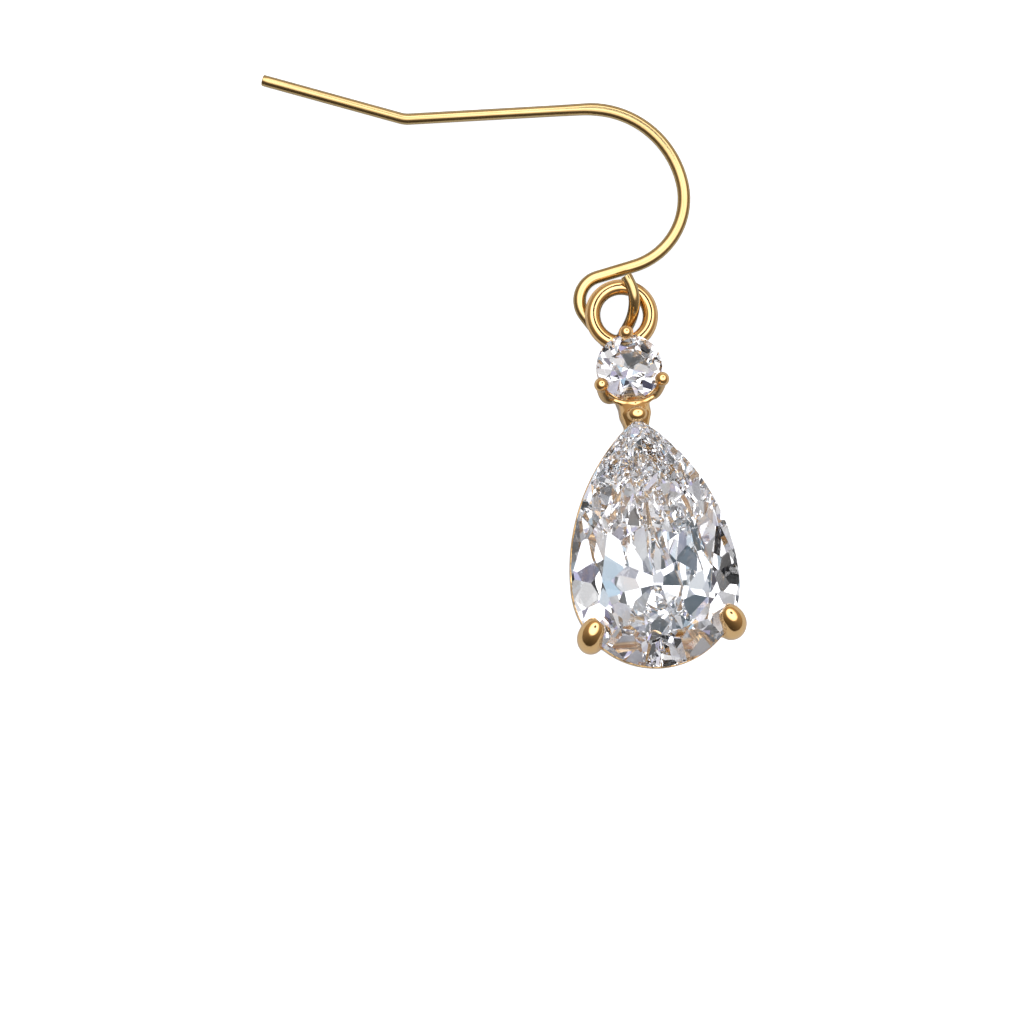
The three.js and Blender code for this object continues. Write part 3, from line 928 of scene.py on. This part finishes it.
def lit_finish():
    finish = Finish(bpy.data.materials.new("lit_table"))
    seen = finish.node("ShaderNodeLightPath", output="Is Camera Ray")
    return finish.done(
        Base_Color=finish.blend(finish.noise(finish.place(), cloud_scale), *table_greys),
        Roughness=0.9,
        Emission_Color=finish.blend(seen, black, white),
        Emission_Strength=table_glow,
    )


def table_top():
    bm = bmesh.new()
    bmesh.ops.create_grid(bm, x_segments=1, y_segments=1, size=table_size)
    bmesh.ops.translate(bm, verts=bm.verts, vec=(0, 0, -table_drop))
    mesh = bpy.data.meshes.new("table")
    bm.to_mesh(mesh)
    bm.free()
    mesh.materials.append(lit_finish())
    made = bpy.data.objects.new("table", mesh)
    bpy.context.scene.collection.objects.link(made)
    return made


table_top()
print("the table is", 2 * table_size, "m wide")

# %% [markdown]
# ## The tent of cloth
# The earring stands in a tent of white cloth. Its folds matter: a cut stone is a puzzle
# of tiny mirrors, and each one picks out a light or a grey place in the tent. A soft
# noise over all directions makes the folds, a second one their slight tints, and a small
# opening at the top lets the camera look in.

# %% What the stones and the table see
fold_scale, fold_edges = 4.5, (0.425, 0.575)
tent_dark, tent_bright, far_gain = 0.02, 0.88, 0.3
camera_gap = 0.99  # the sine of the elevation above which the tent is open
opening_loss = 0.97  # the share of the light that is missing in an opening
tint_scale = 7.0
tent_tints = [  # the ramp's own two stops come first, and the others go between them
    (0.3, (0.66, 0.62, 1.0, 1)),
    (0.7, (0.55, 0.8, 1.0, 1)),
    (0.42, (0.86, 0.84, 1.0, 1)),
    (0.48, white),
    (0.54, white),
    (0.58, (1.0, 0.92, 0.88, 1)),
    (0.63, (0.85, 0.93, 1.0, 1)),
]


def folded_cloth(tent, direction, away, height):
    """The brightness of the folded cloth and its tint, in each direction."""
    cloth = tent.noise(direction, fold_scale, 1.0)
    folds = tent.span(cloth, *fold_edges, tent_dark, tent_bright)
    opening = height > camera_gap
    brightness = folds * (1 + away * far_gain) * (1 - opening * opening_loss)
    tints = tent.noise(direction, tint_scale, 1.0)
    return brightness, tent.node("ShaderNodeValToRGB", {"stops": tent_tints}, {"Fac": tints})


# %% [markdown]
# Folds would give polished gold spotted highlights. It wants a smooth bright roof, warm
# walls, and a dark slot that leaves a thin dark line along the link ring. Light paths
# tell the two apart: the stones are perfectly smooth, so rays at them are singular, and
# apart from the table's faint sheen only gold is glossy without being singular.

# %% What polished gold sees
roof_towards, roof_edges, roof_glow = (0.1, 0.27, 0.96), (0.66, 0.86), 2.2
wall_glow, wall_away, wall_across = 0.32, 0.24, 0.06
slot_towards, slot_edge = (0.2, 0.46, 0.865), 0.978  # the cosine of the slot's half width
warm_wall = (1.0, 0.8, 0.6, 1)


def facing(coordinates, towards):
    """How nearly a direction points towards a given one, where 1 is straight at it."""
    across, away, height = coordinates
    return across * towards[0] + away * towards[1] + height * towards[2]


def smooth_room(tent, coordinates):
    """The brightness of the roof, the walls and the slot, and their tint."""
    across, away, height = coordinates
    roof = tent.span(facing(coordinates, roof_towards), *roof_edges)
    walls = wall_glow + away * wall_away + across * wall_across
    slot = facing(coordinates, slot_towards) > slot_edge
    brightness = (roof * roof_glow + walls) * (1 - slot * opening_loss)
    return brightness, tent.blend(roof, warm_wall, white)


# %% [markdown]
# The world puts the two together, and shows the camera itself a plain pale backdrop.

# %% The world around the earring
backdrop = 0.95  # what the camera itself sees beyond the table


def light_tent():
    """A world that is folds for the stones, a smooth room for gold and plain for the camera."""
    tent = Finish(bpy.data.worlds.new("light_tent"))
    direction = tent.node("ShaderNodeTexCoord")
    coordinates = [
        tent.node("ShaderNodeSeparateXYZ", None, {"Vector": direction}, axis) for axis in "XYZ"
    ]
    cloth, cloth_tint = folded_cloth(tent, direction, *coordinates[1:])
    room, room_tint = smooth_room(tent, coordinates)
    seen = tent.node("ShaderNodeLightPath", output="Is Camera Ray")
    glossy = tent.node("ShaderNodeLightPath", output="Is Glossy Ray")
    gold = glossy * (1 - tent.node("ShaderNodeLightPath", output="Is Singular Ray"))
    background = tent.node("ShaderNodeBackground", None, {
        "Color": tent.blend(seen, tent.blend(gold, cloth_tint, room_tint), white),
        "Strength": (cloth * (1 - gold) + room * gold) * (1 - seen) + seen * backdrop,
    })
    tent.node("ShaderNodeOutputWorld", None, {"Surface": background})
    return tent.owner


bpy.context.scene.world = light_tent()
print("the world has", len(bpy.context.scene.world.node_tree.nodes), "nodes")

# %% [markdown]
# ## Softboxes
# Four softboxes shine through the cloth and give the stones their sparks. Gold would show
# each one as a hard square, so they are hidden from glossy rays, and the camera doesn't
# see them either.

# %% Softboxes outside the tent
lamp_distance = 0.4  # metres from the earring
softboxes = [
    {"name": "softbox_far", "azimuth": 100, "elevation": 48, "size": (0.30, 0.16), "power": 0.34},
    {"name": "softbox_right", "azimuth": 20, "elevation": 50, "size": (0.16, 0.24), "power": 0.24},
    {"name": "softbox_left", "azimuth": 200, "elevation": 48, "size": (0.16, 0.24), "power": 0.24},
    {"name": "softbox_near", "azimuth": -70, "elevation": 55, "size": (0.20, 0.14), "power": 0.13},
]


def softbox(name, azimuth, elevation, size, power):
    """An area light that faces the earring; azimuth 90 is beyond the ear wire."""
    data = bpy.data.lights.new(name, "AREA")
    data.shape = "RECTANGLE"
    data.size, data.size_y = size
    data.energy = power
    turn, rise = math.radians(azimuth), math.radians(elevation)
    towards = Vector((math.cos(turn) * math.cos(rise), math.sin(turn) * math.cos(rise), math.sin(rise)))
    made = bpy.data.objects.new(name, data)
    made.location = towards * lamp_distance
    made.rotation_euler = (-towards).to_track_quat("-Z", "Y").to_euler()
    made.visible_camera = False
    made.visible_glossy = False
    bpy.context.scene.collection.objects.link(made)


for box in softboxes:
    softbox(**box)
print(len(softboxes), "softboxes at", lamp_distance, "m")

# %% [markdown]
# ## Colour and light paths
# The plain display transform keeps a white table white and gold a clean yellow. Light
# goes round many times inside a cut stone before it comes out, so it may bounce more
# often than usual; with too few bounces the stone's tip turns black.

# %% Display and bounces
stone_bounces = 32
scene = bpy.context.scene
scene.view_settings.view_transform = "Standard"
scene.cycles.max_bounces = stone_bounces
scene.cycles.transmission_bounces = stone_bounces
scene.cycles.glossy_bounces = stone_bounces
scene.cycles.caustics_reflective = False
scene.cycles.caustics_refractive = False
print("light may bounce", stone_bounces, "times")

# %% [markdown]
# ## The new pieces in place of the measured ones
# Each new piece rides on the one body, and the measured solid it replaces is hidden.

# %% Hide the measured solids and attach the new pieces
for piece, node, slot in ((ear_wire, "ear_hook", "ear_wire"), (setting, "drop_setting", "setting")):
    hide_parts(node)
    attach(piece, "root")
